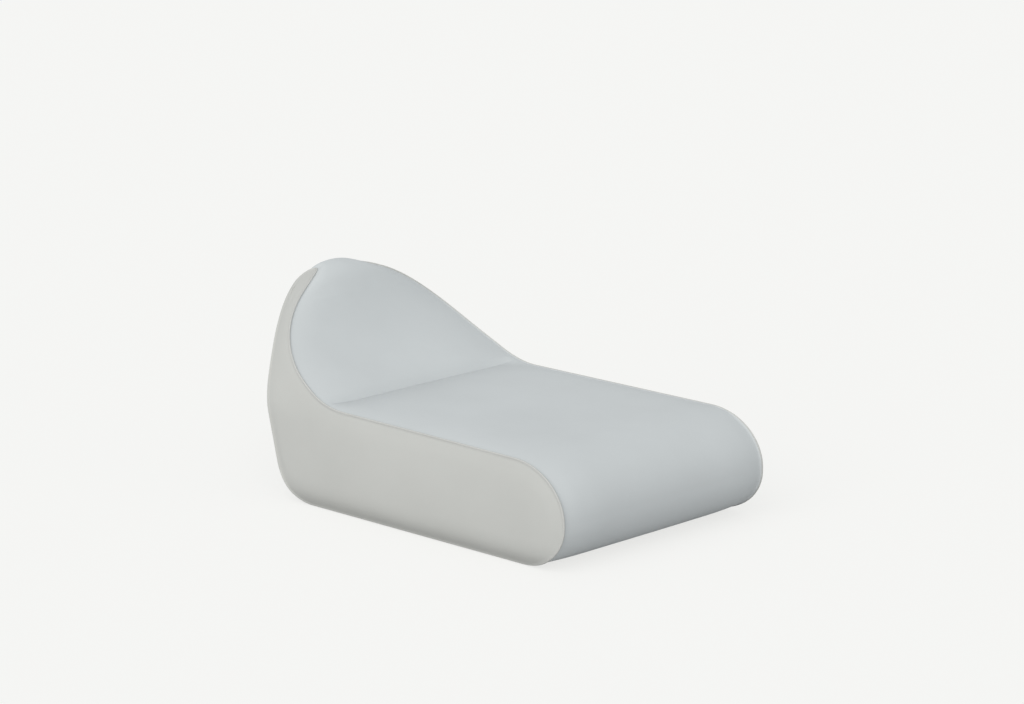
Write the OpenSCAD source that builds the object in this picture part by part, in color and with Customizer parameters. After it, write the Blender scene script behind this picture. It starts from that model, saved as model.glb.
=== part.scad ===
// Spa relaxation lounger: a soft foam chaise in a removable fabric cover.
// Millimetres, Z up, width along X, foot end at -Y, backrest at +Y, floor at zero.
// The cover, the foam and the piping all come from one surface: a side profile,
// a half width that narrows towards the top, and a pillow roll at every seam.
// Left is the -X side, as seen from the foot end.

/* [Overall] */
// Width between the two piped seams at the foot end
seam_w = 943; // [850:1:1050]
// Length from the foot of the front to the crease of the seat
seat_l = 1067; // [960:1:1170]
// Height of the front corner of the profile
front_h = 333; // [320:1:350]
// Height of the profile at the crease between seat and backrest
crease_h = 344; // [325:1:375]
// Height of the seam corners at the top of the backrest
top_h = 690; // [640:1:740]

/* [Side profile] */
// How far the front leans back over its height
front_lean = 2; // [0:1:12]
// Rounding of the lower front corner
low_front_r = 148; // [110:1:152]
// Rounding of the upper front corner
high_front_r = 174; // [140:1:176]
// Length of the rounded foot end, as a share of its height
nose_share = 1.24; // [1:0.01:1.4]
// Rounding of the crease along the piped seams
crease_r = 327; // [240:1:380]
// Run from the crease to the knee of the backrest
knee_run = 245; // [235:1:270]
// Rise from the crease to the knee of the backrest
knee_rise = 137; // [125:1:150]
// Rounding of the knee
knee_r = 585; // [420:5:620]
// Run from the knee to the front corner of the top
top_run = 131; // [115:1:145]
// Rounding of the front corner of the top
top_front_r = 88; // [70:1:100]
// Thickness of the backrest between the two corners of the top
top_l = 101; // [96:1:114]
// Rounding of the rear corner of the top
top_rear_r = 24; // [20:1:30]
// Setback of the bend in the rear, from the rear corner of the top
rear_in = 149; // [134:1:158]
// Height of the bend in the rear
rear_h = 503; // [490:1:530]
// Rounding of the bend in the rear
rear_r = 500; // [420:1:580]
// Setback of the foot of the rear from the bend
heel_in = 127; // [110:1:145]
// Rounding of the lower rear corner
heel_r = 159; // [130:1:168]

/* [Half width] */
// Share of the width lost over the length, towards the rear
taper_share = 0.036; // [0:0.001:0.08]
// Height where the sides begin to lean in
lean_h = 283; // [255:1:300]
// How fast the sides of the backrest draw in towards the rear
rear_fall_share = 0.46; // [0.3:0.01:0.6]
// Share of the width that is left at the top of the backrest
crest_share = 0.24; // [0.2:0.001:0.34]
// Power of the fall of the width with height
fall_power = 2.9; // [2.1:0.01:3]
// Power of the rounding of the width at the top
round_power = 1.19; // [1:0.01:1.4]
// How far the seam tucks in under the lower edge
tuck = 11; // [4:1:20]
// Height of the tucked part of the sides
tuck_h = 70; // [50:1:90]

/* [Pillow form] */
// How far the seams lie below the padding of the seat and back
seam_sink = 8.8; // [6:0.1:14]
// How far the seam lies above the floor
floor_sink = 5; // [4.5:0.1:6]
// Height over which the seam comes away from the floor
sink_h = 80; // [60:1:100]
// How far the side padding stands out from its seams
side_puff = 8; // [4:1:16]
// Distance from the seam where the side padding is full
puff_l = 62; // [50:1:72]
// Extra crown in the middle of the seat
seat_crown = 2.9; // [0:0.1:12]
// Extra crown in the middle of the backrest
back_crown = 12; // [6:0.5:24]
// Height where the extra crown of the backrest begins
crown_h = 430; // [400:1:460]
// How far the crease is drawn into the padding
crease_draw = 9; // [4:0.5:12]

/* [Cover] */
// Thickness of the padded cover fabric
cover_t = 3; // [2:0.1:4]
// Radius of the piping cord
piping_r = 3.5; // [3:0.1:4]
// Clearance between pieces that touch
seat_gap = 0.3; // [0.2:0.05:0.4]
// Thickness of each half of the crease fastening tape
crease_tape_t = 1.5; // [1:0.1:1.8]

/* [Foam] */
// Height of the top of the firm base foam
base_foam_h = 235; // [200:1:260]
// Thickness of the front of the seat foam
front_foam_t = 110; // [90:1:130]
// Thickness of each side foam, from the seam inwards
side_foam_t = 61; // [46:1:86]
// Thickness of the back foam at the foot of the wedge
back_foam_t = 95; // [80:1:110]
// Height where the wedge foam ends under the back foam
wedge_h = 560; // [520:1:590]

/* [Zip] */
// Share of the half width that the zip opening covers
zip_share = 0.72; // [0.66:0.01:0.78]
// Half width of the opening in the cover over the zip
zip_open = 6; // [5.5:0.1:7]
// Length left free at each end of the opening
zip_end_l = 12; // [8:0.5:16]
// Width of one half of the zip tape
zip_tape_w = 17; // [14:0.5:19]
// Thickness of the zip tape
zip_tape_t = 1; // [0.8:0.05:1.2]
// Width of one coil of the zip
coil_w = 2.2; // [2:0.05:2.4]
// Thickness of one coil of the zip
coil_t = 2.2; // [2:0.05:2.4]
// Distance between the two coils
coil_slot = 1.2; // [1.1:0.05:1.4]
// Length of the zip slider
slider_l = 12; // [10:0.5:14]
// Width of the zip slider
slider_w = 9; // [8:0.1:9.6]
// Thickness of each plate of the zip slider
plate_t = 1.4; // [1.2:0.05:1.6]
// Length of the post that parts the coils
post_l = 3; // [2:0.1:4]
// Radius of the pin that carries the puller
pin_r = 0.8; // [0.7:0.05:1]
// Running clearance of the puller on its pin
pin_play = 0.08; // [0.06:0.01:0.1]
// Thickness of each cheek beside the puller
cheek_t = 1; // [0.8:0.05:1.2]
// Width of the puller
puller_w = 4.8; // [4:0.1:5]
// Length of the puller from its pin
puller_l = 24; // [18:0.5:30]
// Thickness of the puller
puller_t = 1.4; // [1.2:0.05:1.6]
// Length of each end stop
stop_l = 3; // [2.5:0.1:4]

/* [Hidden] */
half_turn = 180;
full_turn = 360;
// Share of the shorter neighbouring edge that a rounding may use
reach_share = 0.62;
// Overrun of every cutting body past what it cuts
over = 40;
// Sides of the piping polygon
cord_sides = 6;
pin_fn = 48;

// Steps along each part of the profile: the lower and the upper run have the same number.
front_steps = 6;
floor_steps = 8;
heel_steps = 6;
rear_steps = 2;
bend_steps = 3;
neck_steps = 3;
crest_steps = 4;
lip_steps = 3;
slope_steps = 4;
knee_steps = 4;
ramp_steps = 2;
crease_steps = 6;
seat_steps = 7;
// Halvings in the search for a point of the side at a given distance from its seam
halvings = 12;

// Shares of the half width at which the band is worked out, and of the side padding
band_shares = [0, 0.4, zip_share, 0.88, 0.955, 1];
ring_shares = [0.24, 0.55, 1];
limit_shares = [0.25, 0.5, 0.72];
flat_share = 0.87;

// Corners of the profile as length and height
front_y = -seat_l;
v_low = [front_y, floor_sink];
v_high = [front_y + front_lean, front_h];
v_crease = [0, crease_h];
v_knee = [knee_run, crease_h + knee_rise];
v_lip = [knee_run + top_run, top_h];
v_crest = [knee_run + top_run + top_l, top_h];
v_rear = [v_crest[0] - rear_in, rear_h];
v_heel = [v_rear[0] - heel_in, floor_sink];

function unit(a) = a / norm(a);
function clip(t) = min(1, max(0, t));
function smooth(t) = let (c = clip(t)) c * c * (3 - 2 * c);
function mix(a, b, t) = a + (b - a) * t;
function per_axis(a, s) = [a[0] / s[0], a[1] / s[1]];

// Points of the rounding of corner p between its neighbours a and b
function rounding(a, p, b, r, n) =
    let (ua = unit(a - p), ub = unit(b - p),
         h = acos(ua * ub) / 2,
         reach = min(r / tan(h), reach_share * min(norm(a - p), norm(b - p))),
         rr = reach * tan(h),
         c = p + unit(ua + ub) * rr / sin(h),
         s = p + ua * reach - c,
         e = p + ub * reach - c,
         a0 = atan2(s[1], s[0]),
         turn = (atan2(e[1], e[0]) - a0 + full_turn + half_turn) % full_turn - half_turn)
    [for (k = [0 : n]) c + rr * [cos(a0 + turn * k / n), sin(a0 + turn * k / n)]];
// The same, stretched along the length
function long_rounding(a, p, b, r, n) =
    let (s = [nose_share, 1])
    [for (q = rounding(per_axis(a, s), per_axis(p, s), per_axis(b, s), r, n)) [q[0] * s[0], q[1]]];
function between(a, b, n) = [for (k = [1 : 1 : n - 1]) mix(a, b, k / n)];
function last(v) = v[len(v) - 1];
function tail(v) = [for (k = [1 : len(v) - 1]) v[k]];
function head(v) = [for (k = [0 : len(v) - 2]) v[k]];

low_front = long_rounding(v_high, v_low, v_heel, low_front_r, front_steps);
heel = rounding(v_low, v_heel, v_rear, heel_r, heel_steps);
bend = rounding(v_heel, v_rear, v_crest, rear_r, bend_steps);
crest = rounding(v_rear, v_crest, v_lip, top_rear_r, crest_steps);
lip = tail(rounding(v_crest, v_lip, v_knee, top_front_r, lip_steps));
knee = rounding(v_lip, v_knee, v_crease, knee_r, knee_steps);
dip = rounding(v_knee, v_crease, v_high, crease_r, crease_steps);
high_front = head(long_rounding(v_crease, v_high, v_low, high_front_r, front_steps));

// The closed profile: from the middle of the front down, along the floor, up the rear,
// over the top and back along the backrest and the seat
loop = concat(low_front, between(last(low_front), heel[0], floor_steps),
    heel, between(last(heel), bend[0], rear_steps), bend,
    between(last(bend), crest[0], neck_steps), crest, lip, between(last(lip), knee[0], slope_steps), knee,
    between(last(knee), dip[0], ramp_steps), dip,
    between(last(dip), high_front[0], seat_steps), high_front);
K = len(loop);
k_floor = front_steps;
k_zip = front_steps + floor_steps + heel_steps / 2;
k_bend = front_steps + floor_steps + heel_steps + rear_steps + bend_steps;
k_rear = k_bend + neck_steps;
k_crest = k_rear + crest_steps;
k_crease = k_crest + lip_steps + slope_steps + knee_steps + ramp_steps + crease_steps / 2;
k_front = K + k_floor;

function wrap(k) = (k + K) % K;
function normal_at(k) =
    let (a = unit(loop[k] - loop[wrap(k - 1)]), b = unit(loop[wrap(k + 1)] - loop[k]),
         m = unit([a[1] + b[1], -a[0] - b[0]]))
    m / (m * [a[1], -a[0]]);
outward = [for (k = [0 : K - 1]) normal_at(k)];
crest_z = max([for (p = loop) p[1]]);

// Length of the straight line from the crease to the lip of the top, at height z
function lean_y(z) = (z - crease_h) / (top_h - crease_h) * v_lip[0];
// Half width of the seam at length y and height z
function half_w(y, z) =
    let (t = clip((z - lean_h) / (crest_z - lean_h)),
         dome = mix(crest_share, 1, pow(1 - pow(t, fall_power), 1 / round_power)),
         low = clip(1 - z / tuck_h))
    (seam_w / 2 * (1 - taper_share * (y - front_y) / seat_l) - tuck * low * low) * dome
    - rear_fall_share * max(0, y - lean_y(z)) * smooth(t);

// Height of the padding over the seam, at share v of the half width
function roll(v) = 1 - pow(clip((v - flat_share) / (1 - flat_share)), 2);
function lift(v, k) =
    let (z = loop[k][1])
    roll(v) * (mix(floor_sink, seam_sink, smooth((z - floor_sink) / sink_h))
        - (k == k_crease ? crease_draw : 0))
    + (1 - v * v) * (seat_crown * smooth((z - sink_h) / (lean_h - sink_h))
        + back_crown * smooth((z - crown_h) / (crest_z - crown_h)));

// The seam, and how far the band stops short of it so that the piping has its room
function seam_point(side, k) =
    let (p = loop[wrap(k)]) [side * half_w(p[0], p[1]), p[0], p[1]];
function seam_dir(side, k) = unit(seam_point(side, k + 1) - seam_point(side, k - 1));
edge_in = piping_r + seat_gap;
function band_w(k) =
    let (t = seam_dir(1, k)) seam_point(1, k)[0] - edge_in / norm([t[1], t[2]]);
function band_row(side, v) = [for (k = [0 : K - 1])
    let (p = loop[k] + outward[k] * lift(v, k)) [side * v * band_w(k), p[0], p[1]]];

// Middle line of the side, towards which the rings of the side padding close
function pair_mid(k) = (loop[k] + loop[wrap(K - k)]) / 2;
function spine(k) =
    let (q = k > k_crest ? K - k : k)
    pair_mid(max(k_floor, min(k_bend, q)));
// Point of the side at step s from the seam, and the step whose distance along the side is d,
// measured square to the direction t
function side_at(k, dir, s) = let (p = loop[k] + dir * s) [half_w(p[0], p[1]), p[0], p[1]];
function step_for(k, dir, t, d, lo, hi, n) =
    let (m = (lo + hi) / 2, v = side_at(k, dir, m) - side_at(k, dir, 0))
    n == 0 ? m
    : norm(v - (v * t) * t) > d ? step_for(k, dir, t, d, lo, m, n - 1)
    : step_for(k, dir, t, d, m, hi, n - 1);
function edge_row(side) = [for (k = [0 : K - 1])
    let (q = side_at(k, -outward[k],
        step_for(k, -outward[k], seam_dir(1, k), edge_in, 0, edge_in, halvings)))
    [side * q[0], q[1], q[2]]];
function side_row(side, d, limit) = [for (k = [0 : K - 1])
    let (way = spine(k) - loop[k], dir = unit(way),
         q = side_at(k, dir, step_for(k, dir, [0, 0, 0], d, 0, limit * norm(way), halvings)),
         far = clip(norm(q - side_at(k, dir, 0)) / puff_l),
         puff = side_puff * (1 - pow(1 - far, 2)))
    [side * (q[0] + puff), q[1], q[2]]];

side_rows = len(ring_shares) + 1;
bands = len(band_shares);
// Rows of the whole surface from the left side over the band to the right side
outer = concat(
    [for (i = [len(ring_shares) - 1 : -1 : 0]) side_row(-1, ring_shares[i] * puff_l, limit_shares[i])],
    [edge_row(-1)],
    [for (i = [bands - 1 : -1 : 1]) band_row(-1, band_shares[i])],
    [for (i = [0 : bands - 1]) band_row(1, band_shares[i])],
    [edge_row(1)],
    [for (i = [0 : len(ring_shares) - 1]) side_row(1, ring_shares[i] * puff_l, limit_shares[i])]);
rows = len(outer);
first_band = side_rows;
last_band = rows - side_rows - 1;
mid_row = (rows - 1) / 2;

// Outward direction at every point, taken only along the piece that the point is on
function row_low(i) = (i == 0 || i == first_band || i == last_band + 1) ? i : i - 1;
function row_high(i) = (i == rows - 1 || i == last_band || i == first_band - 1) ? i : i + 1;
out_dir = [for (i = [0 : rows - 1]) [for (k = [0 : K - 1])
    unit(cross(outer[i][wrap(k + 1)] - outer[i][wrap(k - 1)],
        outer[row_high(i)][k] - outer[row_low(i)][k]))]];
function deep(i, k, d) = outer[i][wrap(k)] - out_dir[i][wrap(k)] * d;
// The same at a distance s along the surface from k towards its neighbour on side e
function along(i, k, e, s, d) =
    let (a = outer[i][wrap(k)], b = outer[i][wrap(k + e)], f = s / norm(b - a))
    mix(deep(i, k, d), deep(i, k + e, d), f);

all_y = [for (r = outer) for (p = r) p[1]];
shift_y = -(min(all_y) + max(all_y)) / 2;
module placed() {
    translate([0, shift_y, 0]) children();
}

// Two triangles of one square of a grid with rows of n points
function square_faces(a, b, c, d) = [[a, b, c], [a, c, d]];

// A padded panel from the rows i0 to i1, with its outer and inner points as grids
module panel(top, under) {
    m = len(top);
    n = len(top[0]);
    base = m * n;
    points = concat([for (r = top) for (p = r) p], [for (r = under) for (p = r) p]);
    faces = [
        for (i = [0 : m - 2]) for (j = [0 : n - 2])
            for (f = square_faces(i * n + j, (i + 1) * n + j, (i + 1) * n + j + 1, i * n + j + 1)) f,
        for (i = [0 : m - 2]) for (j = [0 : n - 2])
            for (f = square_faces(base + i * n + j, base + (i + 1) * n + j,
                base + (i + 1) * n + j + 1, base + i * n + j + 1)) [f[0], f[2], f[1]],
        for (i = [0 : m - 2]) for (f = square_faces(i * n, base + i * n,
            base + (i + 1) * n, (i + 1) * n)) f,
        for (i = [0 : m - 2]) for (f = square_faces((i + 1) * n + n - 1, base + (i + 1) * n + n - 1,
            base + i * n + n - 1, i * n + n - 1)) f,
        for (j = [0 : n - 2]) for (f = square_faces(j + 1, base + j + 1, base + j, j)) f,
        for (j = [0 : n - 2]) for (f = square_faces((m - 1) * n + j, base + (m - 1) * n + j,
            base + (m - 1) * n + j + 1, (m - 1) * n + j + 1)) f];
    polyhedron(points = points, faces = faces);
}

// Faces of a ring of K points, closed across by a ladder from each point to its pair
function cap_faces(b, turned) = [
    for (k = [0 : K / 2 - 1])
        let (p = b + k, q = b + k + 1, r = b + wrap(K - k - 1), s = b + wrap(K - k))
        for (f = concat(q == r ? [] : [[p, q, r]], p == s ? [] : [[p, r, s]]))
            turned ? [f[0], f[2], f[1]] : f];
// The squares between two rings are split the same way on every layer of the same rows
function tube_faces(b0, b1, back) = [for (k = [0 : K - 1])
    let (a = b0 + k, b = b1 + k, c = b1 + wrap(k + 1), d = b0 + wrap(k + 1))
        for (f = back ? square_faces(b, c, d, a) : square_faces(a, b, c, d)) f];

// A closed body through a list of rings, where the steps from b0 to b1 run backwards over the rows
module stack(rings, b0, b1) {
    m = len(rings);
    points = [for (r = rings) for (p = r) p];
    faces = concat(cap_faces(0, false),
        [for (i = [0 : m - 2]) for (f = tube_faces(i * K, (i + 1) * K, i >= b0 && i < b1)) f],
        cap_faces((m - 1) * K, true));
    polyhedron(points = points, faces = faces);
}

// Ring of the surface at a depth
function ring(i, d) = [for (k = [0 : K - 1]) deep(i, k, d)];

// Extra depth of the foam under the crease, for the two halves of the fastening tape
tape_well = 2 * crease_tape_t + 2 * seat_gap;
function foam_depth(k) = cover_t + seat_gap
    + (abs(k - k_crease) <= 1 ? tape_well : 0);
module foam_form() {
    stack([for (i = [0 : rows - 1]) [for (k = [0 : K - 1]) deep(i, k, foam_depth(k))]], 0, 0);
}

// Panel of the band between the profile points k0 and k1, cut back by c0 and c1 at its ends
function panel_rows(k0, k1, c0, c1, d) = [for (i = [first_band : last_band])
    concat([along(i, k0, 1, c0[i - first_band], d)],
        [for (k = [k0 + 1 : k1 - 1]) deep(i, k, d)],
        [along(i, k1, -1, c1[i - first_band], d)])];
module band_panel(k0, k1, c0, c1) {
    panel(panel_rows(k0, k1, c0, c1, 0), panel_rows(k0, k1, c0, c1, cover_t));
}
plain_cut = [for (i = [first_band : last_band]) seat_gap / 2];
zip_cut = [for (i = [first_band : last_band])
    abs(i - mid_row) <= 2 ? zip_open : seat_gap / 2];

module seat_panel() {
    color("silver") placed() band_panel(k_crease, k_front, plain_cut, plain_cut);
}

module backrest_panel() {
    color("silver") placed() band_panel(k_rear, k_crease, plain_cut, plain_cut);
}

module rear_panel() {
    color("silver") placed() band_panel(k_zip, k_rear, zip_cut, plain_cut);
}

module base_panel() {
    color("dimgray") placed() band_panel(k_floor, k_zip, plain_cut, zip_cut);
}

module side_panel_left() {
    color("lightgray") placed() stack(concat([for (i = [0 : side_rows - 1]) ring(i, 0)],
        [for (i = [side_rows - 1 : -1 : 0]) ring(i, cover_t)]), side_rows, 2 * side_rows);
}

module side_panel_right() {
    color("lightgray") placed() stack(concat(
        [for (i = [rows - 1 : -1 : rows - side_rows]) ring(i, cover_t)],
        [for (i = [rows - side_rows : rows - 1]) ring(i, 0)]), 0, side_rows - 1);
}

// Cord of the piping along one seam
function cord_ring(side, k) =
    let (c = seam_point(side, k), t = seam_dir(side, k),
         a = unit(cross(t, [1, 0, 0])), b = cross(t, a))
    [for (j = [0 : cord_sides - 1])
        c + piping_r * (a * cos(full_turn * j / cord_sides) + b * sin(full_turn * j / cord_sides))];
module piping(side) {
    points = [for (k = [0 : K - 1]) for (p = cord_ring(side, k)) p];
    faces = [for (k = [0 : K - 1]) for (j = [0 : cord_sides - 1])
        let (a = k * cord_sides, b = wrap(k + 1) * cord_sides, j1 = (j + 1) % cord_sides)
        for (f = square_faces(a + j, b + j, b + j1, a + j1)) f];
    polyhedron(points = points, faces = faces);
}

module piping_left() {
    color("gray") placed() piping(-1);
}

module piping_right() {
    color("gray") placed() piping(1);
}

// Half of the fastening tape under the crease, between two depths
module crease_tape(d0, d1) {
    function tape_rows(d) = [for (i = [first_band + 2 : last_band - 2])
        [for (k = [k_crease - 1 : k_crease + 1]) deep(i, k, d)]];
    panel(tape_rows(d0), tape_rows(d1));
}

module crease_loop_tape() {
    color("slategray") placed()
        crease_tape(cover_t + seat_gap, cover_t + seat_gap + crease_tape_t);
}

module crease_hook_tape() {
    color("darkslategray") placed()
        crease_tape(cover_t + 2 * seat_gap + crease_tape_t, cover_t + 2 * seat_gap + 2 * crease_tape_t);
}

// Frame of the zip: X along it, Y towards the base panel, Z outwards
zip_at = outer[mid_row][k_zip];
zip_out = out_dir[mid_row][k_zip];
zip_angle = atan2(zip_out[1], -zip_out[2]);
zip_half_l = zip_share * half_w(loop[k_zip][0], loop[k_zip][1]) - zip_end_l;
module zip_frame() {
    translate([0, zip_at[1], zip_at[2]]) rotate([half_turn + zip_angle, 0, 0]) children();
}
function zip_side(e) = let (a = outer[mid_row][k_zip + e] - zip_at) atan2(a[2], a[1]);

coil_mid = cover_t + seat_gap + zip_tape_t / 2;
coil_out = coil_slot / 2 + coil_w;
plate_gap = coil_t / 2 + seat_gap;
well_half_w = coil_out + zip_tape_w + 4 * seat_gap;
well_d = coil_mid + plate_gap + 2 * plate_t;

module block(from, to) {
    translate(from) cube(to - from);
}

// One half of the tape lies under the flat of the cover next to the zip, which turns in
// a little from the frame of the zip
zip_turn = abs(asin(unit(outer[mid_row][k_zip + 1] - zip_at) * zip_out));
tape_in = coil_out + seat_gap + (cover_t + seat_gap + zip_tape_t) * tan(zip_turn);
module zip_tape(e) {
    a = zip_side(e);
    translate([0, zip_at[1], zip_at[2]]) rotate([a, 0, 0])
        block([-zip_half_l, tape_in, e * (cover_t + seat_gap) - (e > 0 ? 0 : zip_tape_t)],
            [zip_half_l, tape_in + zip_tape_w,
                e * (cover_t + seat_gap) + (e > 0 ? zip_tape_t : 0)]);
}

module zip_tape_upper() {
    color("dimgray") placed() zip_tape(1);
}

module zip_tape_lower() {
    color("dimgray") placed() zip_tape(-1);
}

module zip_coil(e) {
    zip_frame() block([-zip_half_l, e > 0 ? coil_slot / 2 : -coil_out, -coil_mid - coil_t / 2],
        [zip_half_l, e > 0 ? coil_out : -coil_slot / 2, -coil_mid + coil_t / 2]);
}

module zip_coil_lower() {
    color("black") placed() zip_coil(1);
}

module zip_coil_upper() {
    color("black") placed() zip_coil(-1);
}

module zip_stop(side) {
    x0 = side > 0 ? zip_half_l + seat_gap : -zip_half_l - seat_gap - stop_l;
    zip_frame() block([x0, -coil_out, -coil_mid - coil_t / 2],
        [x0 + stop_l, coil_out, -coil_mid + coil_t / 2]);
}

module zip_stop_left() {
    color("darkgray") placed() zip_stop(-1);
}

module zip_stop_right() {
    color("darkgray") placed() zip_stop(1);
}

// The slider rests closed at the left end of the zip
slider_x = -zip_half_l + slider_l;
plate_top = -coil_mid + plate_gap + plate_t;
cheek_y = puller_w / 2 + 3 * pin_play;
eye_r = pin_r + pin_play + cheek_t;
pin_z = plate_top + eye_r + seat_gap;
module at_slider() {
    zip_frame() translate([slider_x, 0, 0]) children();
}

module zip_slider() {
    color("darkgray") placed() at_slider() union() {
        block([-slider_l / 2, -slider_w / 2, plate_top - plate_t],
            [slider_l / 2, slider_w / 2, plate_top]);
        block([-slider_l / 2, -slider_w / 2, -coil_mid - plate_gap - plate_t],
            [slider_l / 2, slider_w / 2, -coil_mid - plate_gap]);
        block([-slider_l / 2, -coil_slot / 4, -coil_mid - plate_gap - plate_t / 2],
            [-slider_l / 2 + post_l, coil_slot / 4, plate_top - plate_t / 2]);
        for (s = [-1, 1])
            translate([0, s * (cheek_y + cheek_t / 2), 0]) {
                block([-eye_r, -cheek_t / 2, plate_top - plate_t / 2], [eye_r, cheek_t / 2, pin_z]);
                translate([0, 0, pin_z]) rotate([half_turn / 2, 0, 0])
                    cylinder(h = cheek_t, r = eye_r, center = true, $fn = pin_fn);
            }
        translate([0, 0, pin_z]) rotate([half_turn / 2, 0, 0])
            cylinder(h = 2 * cheek_y + cheek_t, r = pin_r, center = true, $fn = pin_fn);
    }
}

module zip_puller() {
    color("gray") placed() at_slider() translate([0, 0, pin_z]) difference() {
        union() {
            rotate([half_turn / 2, 0, 0])
                cylinder(h = puller_w, r = eye_r, center = true, $fn = pin_fn);
            block([0, -puller_w / 2, -puller_t / 2], [puller_l, puller_w / 2, puller_t / 2]);
        }
        rotate([half_turn / 2, 0, 0])
            cylinder(h = puller_w + over, r = pin_r + pin_play, center = true, $fn = pin_fn);
    }
}

// Cuts through the foam, as side views drawn along the whole width
module across(points, half) {
    rotate([half_turn / 2, 0, half_turn / 2]) linear_extrude(height = 2 * half, center = true)
        polygon(points);
}
wide = seam_w;
far_y = v_crest[0] + over;
near_y = front_y - over;
high_z = top_h + back_crown + seam_sink + over;
cut = seat_gap / 2;
box_front = front_y + front_foam_t;
crease_foot = crease_h - base_foam_h;
wedge_y = back_foam_t + crease_foot / 2;
wedge_front_y = mix(v_knee[0], v_lip[0], (wedge_h - v_knee[1]) / (top_h - v_knee[1]));
wedge_rear_y = mix(v_rear[0], v_crest[0], (wedge_h - rear_h) / (top_h - rear_h));
wedge_top_y = (wedge_front_y + wedge_rear_y) / 2;
middle_half_w = seam_w / 2 - side_foam_t;
half_m = middle_half_w - cut;

module base_foam() {
    color("khaki") placed() difference() {
        intersection() {
            foam_form();
            across([[box_front + cut, -over], [far_y, -over],
                [far_y, base_foam_h - cut], [box_front + cut, base_foam_h - cut]], half_m);
        }
        zip_frame() block([-zip_half_l - over / 2, -well_half_w, -well_d],
            [zip_half_l + over / 2, well_half_w, over]);
    }
}

module seat_foam() {
    color("lightyellow") placed() intersection() {
        foam_form();
        across([[near_y, -over], [box_front - cut, -over], [box_front - cut, base_foam_h + cut],
            [-cut, base_foam_h + cut], [-cut, high_z], [near_y, high_z]], half_m);
    }
}

module back_foam() {
    color("lightyellow") placed() intersection() {
        foam_form();
        across([[cut, base_foam_h + cut], [wedge_y - cut, base_foam_h + cut],
            [wedge_top_y - cut, wedge_h + cut], [far_y, wedge_h + cut], [far_y, high_z], [cut, high_z]],
            half_m);
    }
}

module back_wedge_foam() {
    color("khaki") placed() intersection() {
        foam_form();
        across([[wedge_y + cut, base_foam_h + cut], [far_y, base_foam_h + cut],
            [far_y, wedge_h - cut], [wedge_top_y + cut, wedge_h - cut]], half_m);
    }
}

module side_foam(side) {
    x0 = side > 0 ? middle_half_w + cut : -wide;
    intersection() {
        foam_form();
        block([x0, near_y, -over], [x0 + wide - middle_half_w - cut, far_y, high_z]);
    }
}

module side_foam_left() {
    color("wheat") placed() side_foam(-1);
}

module side_foam_right() {
    color("wheat") placed() side_foam(1);
}

side_panel_left();
side_panel_right();
seat_panel();
backrest_panel();
rear_panel();
base_panel();
piping_left();
piping_right();
crease_loop_tape();
crease_hook_tape();
base_foam();
seat_foam();
back_wedge_foam();
back_foam();
side_foam_left();
side_foam_right();
zip_tape_upper();
zip_tape_lower();
zip_coil_upper();
zip_coil_lower();
zip_stop_left();
zip_stop_right();
zip_slider();
zip_puller();
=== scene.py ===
import math

import bmesh
import bpy
import numpy as np
from mathutils import Matrix, Vector
from mathutils.bvhtree import BVHTree


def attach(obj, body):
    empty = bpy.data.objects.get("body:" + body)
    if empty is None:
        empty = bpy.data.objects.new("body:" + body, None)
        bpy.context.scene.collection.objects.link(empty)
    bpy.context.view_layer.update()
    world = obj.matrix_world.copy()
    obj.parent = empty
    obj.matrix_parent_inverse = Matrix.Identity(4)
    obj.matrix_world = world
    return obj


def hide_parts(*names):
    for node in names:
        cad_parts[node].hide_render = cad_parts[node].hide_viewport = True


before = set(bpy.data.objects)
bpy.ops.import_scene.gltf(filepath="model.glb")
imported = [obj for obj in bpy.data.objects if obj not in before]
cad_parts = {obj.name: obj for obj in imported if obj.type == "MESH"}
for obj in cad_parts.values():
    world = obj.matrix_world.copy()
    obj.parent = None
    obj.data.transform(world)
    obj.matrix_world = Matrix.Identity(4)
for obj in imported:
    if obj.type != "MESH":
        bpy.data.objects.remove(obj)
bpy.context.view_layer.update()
scene = bpy.context.scene
MM = 0.001

# ---- the form, in millimetres, from the named values of the part ----
SEAM_W, SEAT_L, FRONT_H, CREASE_H, TOP_H = 943, 1067, 333, 344, 690
FRONT_LEAN, LOW_FRONT_R, HIGH_FRONT_R, NOSE, CREASE_R = 2, 148, 174, 1.24, 327
KNEE_RUN, KNEE_RISE, KNEE_R = 245, 137, 585
TOP_RUN, TOP_FRONT_R, TOP_L, TOP_REAR_R = 131, 88, 101, 24
REAR_IN, REAR_H, REAR_R, HEEL_IN, HEEL_R = 149, 503, 500, 127, 159
TAPER, LEAN_H, REAR_FALL, CREST, FALL_POWER, ROUND_POWER = 0.036, 283, 0.46, 0.24, 2.9, 1.19
TUCK, TUCK_H = 14, 54
SEAM_SINK, FLOOR_SINK, SINK_H, PUFF_L = 8.8, 5, 80, 62
SEAT_CROWN, BACK_CROWN, CROWN_H = 2.9, 9.5, 430
COVER_T, PIPING_R, SEAT_GAP, TAPE_T = 3, 3.5, 0.3, 1.5
ZIP_SHARE, ZIP_OPEN = 0.72, 6
SHIFT_Y = 300.343  # from the drawing, where the crease is at y 0, to the part's own frame
REACH = 0.62  # the share of its shorter leg that a rounding may take
EDGE_IN = PIPING_R + SEAT_GAP

FINE = 6  # steps here for each step of the part's own profile
STEPS = {"front": 6, "floor": 8, "heel": 6, "rear": 2, "bend": 3, "neck": 3, "crest": 4,
         "lip": 3, "slope": 4, "knee": 4, "ramp": 2, "crease": 6, "seat": 7}
N = {name: count * FINE for name, count in STEPS.items()}


def unit(a):
    return a / np.linalg.norm(a, axis=-1, keepdims=True)


def clip(t):
    return np.clip(t, 0, 1)


def smooth(t):
    c = clip(t)
    return c * c * (3 - 2 * c)


def mix(a, b, t):
    return a + (b - a) * t


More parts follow.
